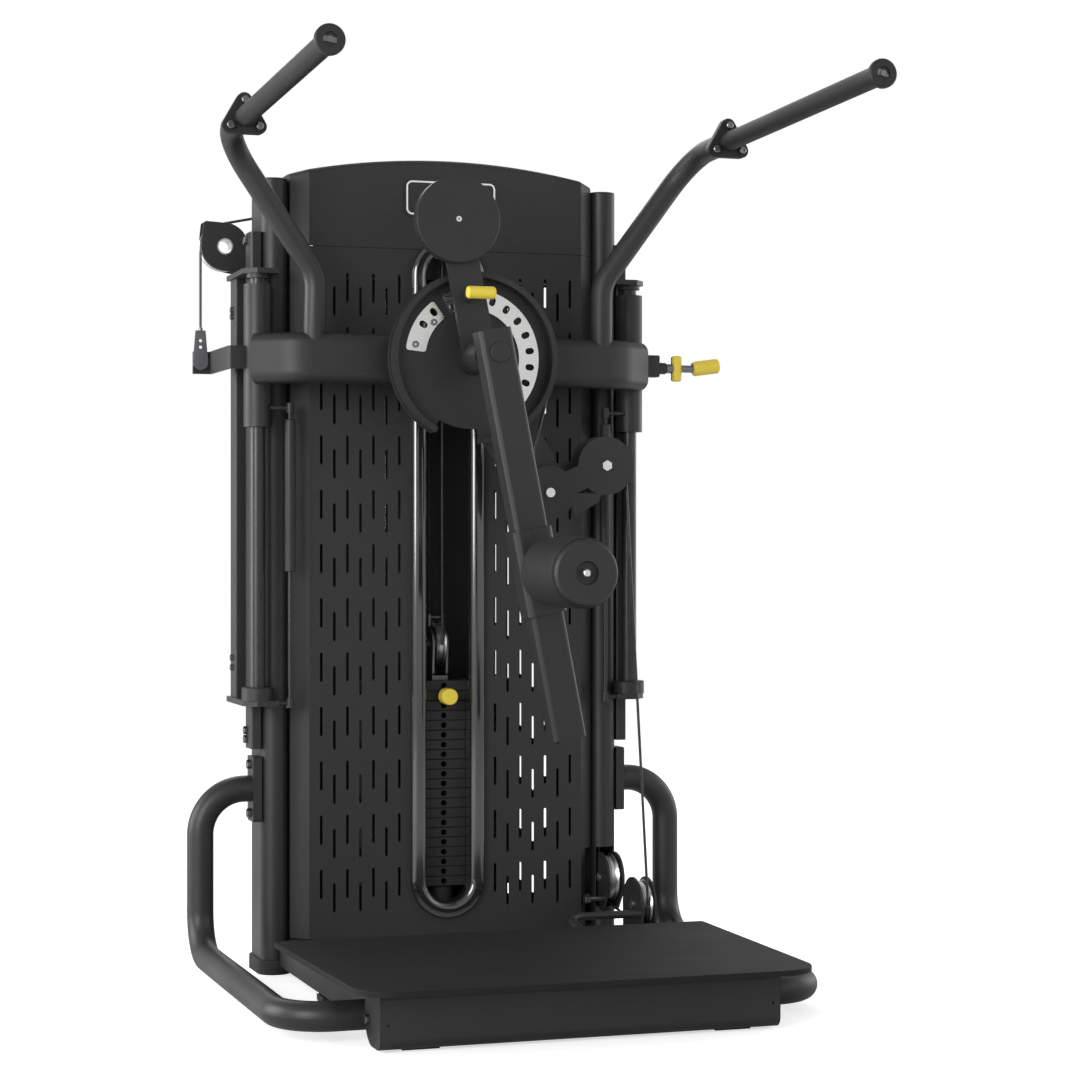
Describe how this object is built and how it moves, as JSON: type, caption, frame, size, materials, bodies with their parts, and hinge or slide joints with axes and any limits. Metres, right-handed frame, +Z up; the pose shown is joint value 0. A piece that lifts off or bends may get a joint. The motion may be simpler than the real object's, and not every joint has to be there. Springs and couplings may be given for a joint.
{
  "type": "standing multi hip machine",
  "caption": "Weight-stack tower with a height-adjustable carriage, swinging roller lever, index cam, bent grab handles and a standing platform.",
  "frame": {"origin": "centre of the footprint's box on the floor", "axes": "+X to the right of someone facing the machine, +Y to its back, +Z up"},
  "size_m": [1.0159, 1.0872, 1.5414],
  "materials": {
    "frame_paint": "satin black powder coat on welded steel tube",
    "sheet_paint": "fine-textured matt black powder coat on folded sheet",
    "deck_coating": "matt black non-slip coating",
    "trim_plastic": "glossy black moulding",
    "cap_plastic": "moulded black plastic",
    "badge_paint": "black plate with a light border",
    "hard_chrome": "hard-chromed ground rod",
    "black_chrome": "black-plated ground rod",
    "stack_paint": "black painted steel plates",
    "feet_rubber": "moulded rubber",
    "grip_rubber": "fine-grained rubber sleeve",
    "roller_rubber": "soft foam roller with a rubbery skin",
    "roller_hub_paint": "black painted end plate on a bearing core",
    "plated_steel": "bright zinc and nickel plate",
    "cable_coat": "black nylon-coated wire rope",
    "pulley_nylon": "turned black nylon",
    "yellow_plastic": "yellow dipped plastic",
    "gas_spring_paint": "black painted gas spring"
  },
  "bodies": {
    "root": {"uprights": "frame_paint", "tube_end_caps": "cap_plastic", "rubber_feet": "feet_rubber", "tower_beams": "frame_paint", "front_shroud": "sheet_paint", "rear_shroud": "sheet_paint", "head_cover": "sheet_paint", "window_trim": "trim_plastic", "badge_plate": "badge_paint", "stack_guide_rods": "hard_chrome", "weight_plates": "stack_paint", "stack_buffers": "feet_rubber", "side_rails": "frame_paint", "guide_rods": "black_chrome", "rod_mounts": "frame_paint", "gas_rods": "hard_chrome", "bumper_tube_right": "frame_paint", "bumper_tube_left": "frame_paint", "front_bar": "frame_paint", "platform_deck": "deck_coating", "platform_frame": "frame_paint", "base_pulley_bracket": "frame_paint", "balance_pulley_bracket": "frame_paint", "top_pulley_brackets": "frame_paint", "frame_fasteners": "plated_steel", "main_cable": "cable_coat", "side_cable_run": "cable_coat", "balance_cable_run": "cable_coat", "stack_cable_legs": "cable_coat"},
    "carriage": {"crossbar": "frame_paint", "slide_sleeves": "frame_paint", "handle_tubes": "frame_paint", "hand_grips": "grip_rubber", "grip_end_caps": "cap_plastic", "pulley_arm": "frame_paint", "gas_cylinders": "gas_spring_paint", "side_brackets": "frame_paint", "cam_cable": "cable_coat"},
    "height_pin": {"height_pin": "yellow_plastic"},
    "cam": {"index_disc": "frame_paint", "index_plates": "plated_steel"},
    "lever": {"lever_arm": "frame_paint", "counterweight": "frame_paint", "lever_tube": "frame_paint"},
    "index_pin": {"index_pin": "yellow_plastic"},
    "roller_slide": {"roller_slide": "frame_paint"},
    "roller": {"roller_pad": "roller_rubber", "roller_core": "roller_hub_paint"},
    "stack": {"head_plate": "stack_paint", "selector_stem": "plated_steel"},
    "selector_pin": {"selector_pin": "yellow_plastic"},
    "base_pulley_front": {"base_pulley_front": "pulley_nylon"},
    "base_pulley_rear": {"base_pulley_rear": "pulley_nylon"},
    "balance_pulley": {"balance_pulley": "pulley_nylon"},
    "top_pulley_front": {"top_pulley_front": "pulley_nylon"},
    "top_pulley_rear": {"top_pulley_rear": "pulley_nylon"},
    "top_pulley_side": {"top_pulley_side": "pulley_nylon"},
    "floating_pulley": {"floating_pulley": "pulley_nylon"},
    "carriage_pulley_outer": {"carriage_pulley_outer": "pulley_nylon"},
    "carriage_pulley_inner": {"carriage_pulley_inner": "pulley_nylon"}
  },
  "joints": [
    {"name": "carriage_lift", "type": "slide", "parent": "root", "child": "carriage", "axis": [0, 0, 1], "range_m": [-0.22, 0], "deforming": ["side_cable_run", "balance_cable_run"]},
    {"name": "height_pin_pull", "type": "slide", "parent": "carriage", "child": "height_pin", "axis": [1, 0, 0], "range_m": [-0.012, 0]},
    {"name": "cam_swing", "type": "hinge", "parent": "carriage", "child": "cam", "pos_m": [-0.02984, 0.20163, 1.11], "axis": [0, -1, 0], "range_deg": [0, 70]},
    {"name": "lever_index", "type": "hinge", "parent": "cam", "child": "lever", "pos_m": [-0.02984, 0.16163, 1.11], "axis": [0, -1, 0], "range_deg": [-46.5, 31]},
    {"name": "index_pin_pull", "type": "slide", "parent": "lever", "child": "index_pin", "axis": [0, -1, 0], "range_m": [-0.014, 0]},
    {"name": "roller_shift", "type": "slide", "parent": "lever", "child": "roller_slide", "axis": [0.1908, 0, -0.9816], "range_m": [-0.2, 0.2]},
    {"name": "roller_spin", "type": "hinge", "parent": "roller_slide", "child": "roller", "pos_m": [0.04372, -0.10837, 0.73158], "axis": [0, -1, 0], "continuous": true},
    {"name": "stack_lift", "type": "slide", "parent": "root", "child": "stack", "axis": [0, 0, 1], "range_m": [0, 0.0925], "deforming": ["stack_cable_legs"]},
    {"name": "selector_pin_pull", "type": "slide", "parent": "stack", "child": "selector_pin", "axis": [0, -1, 0], "range_m": [0, 0.08]},
    {"name": "base_pulley_front_turn", "type": "hinge", "parent": "root", "child": "base_pulley_front", "pos_m": [0.30217, 0.24163, 0.118], "axis": [1, 0, 0], "continuous": true},
    {"name": "base_pulley_rear_turn", "type": "hinge", "parent": "root", "child": "base_pulley_rear", "pos_m": [0.28617, 0.37463, 0.152], "axis": [1, 0, 0], "continuous": true},
    {"name": "balance_pulley_turn", "type": "hinge", "parent": "root", "child": "balance_pulley", "pos_m": [-0.41384, 0.52663, 1.328], "axis": [0, -1, 0], "continuous": true},
    {"name": "top_pulley_front_turn", "type": "hinge", "parent": "root", "child": "top_pulley_front", "pos_m": [0.01316, 0.39763, 1.395], "axis": [0, -1, 0], "continuous": true},
    {"name": "top_pulley_rear_turn", "type": "hinge", "parent": "root", "child": "top_pulley_rear", "pos_m": [-0.07283, 0.48563, 1.395], "axis": [0, -1, 0], "continuous": true},
    {"name": "top_pulley_side_turn", "type": "hinge", "parent": "root", "child": "top_pulley_side", "pos_m": [0.24316, 0.41763, 1.395], "axis": [0, -1, 0], "continuous": true},
    {"name": "floating_pulley_turn", "type": "hinge", "parent": "stack", "child": "floating_pulley", "pos_m": [-0.02984, 0.44163, 0.592], "axis": [1, 0, 0], "continuous": true},
    {"name": "carriage_pulley_outer_turn", "type": "hinge", "parent": "carriage", "child": "carriage_pulley_outer", "pos_m": [0.21616, 0.20163, 0.92], "axis": [0, -1, 0], "continuous": true},
    {"name": "carriage_pulley_inner_turn", "type": "hinge", "parent": "carriage", "child": "carriage_pulley_inner", "pos_m": [0.10916, 0.20163, 0.871], "axis": [0, -1, 0], "continuous": true}
  ],
  "couplings": [
    {"joint": "stack_lift", "follows": "cam_swing", "m_per_rad": 0.07575},
    {"joint": "base_pulley_front_turn", "follows": "cam_swing", "ratio": -3.523},
    {"joint": "base_pulley_rear_turn", "follows": "cam_swing", "ratio": -3.523},
    {"joint": "balance_pulley_turn", "follows": "carriage_lift", "rad_per_m": -23.26},
    {"joint": "top_pulley_front_turn", "follows": "cam_swing", "ratio": 3.523},
    {"joint": "top_pulley_rear_turn", "follows": "carriage_lift", "rad_per_m": -23.26},
    {"joint": "top_pulley_side_turn", "follows": "cam_swing", "ratio": -3.523},
    {"joint": "floating_pulley_turn", "follows": "cam_swing", "ratio": -1.762},
    {"joint": "carriage_pulley_outer_turn", "follows": "cam_swing", "ratio": 3.523},
    {"joint": "carriage_pulley_inner_turn", "follows": "cam_swing", "ratio": -3.523}
  ]
}
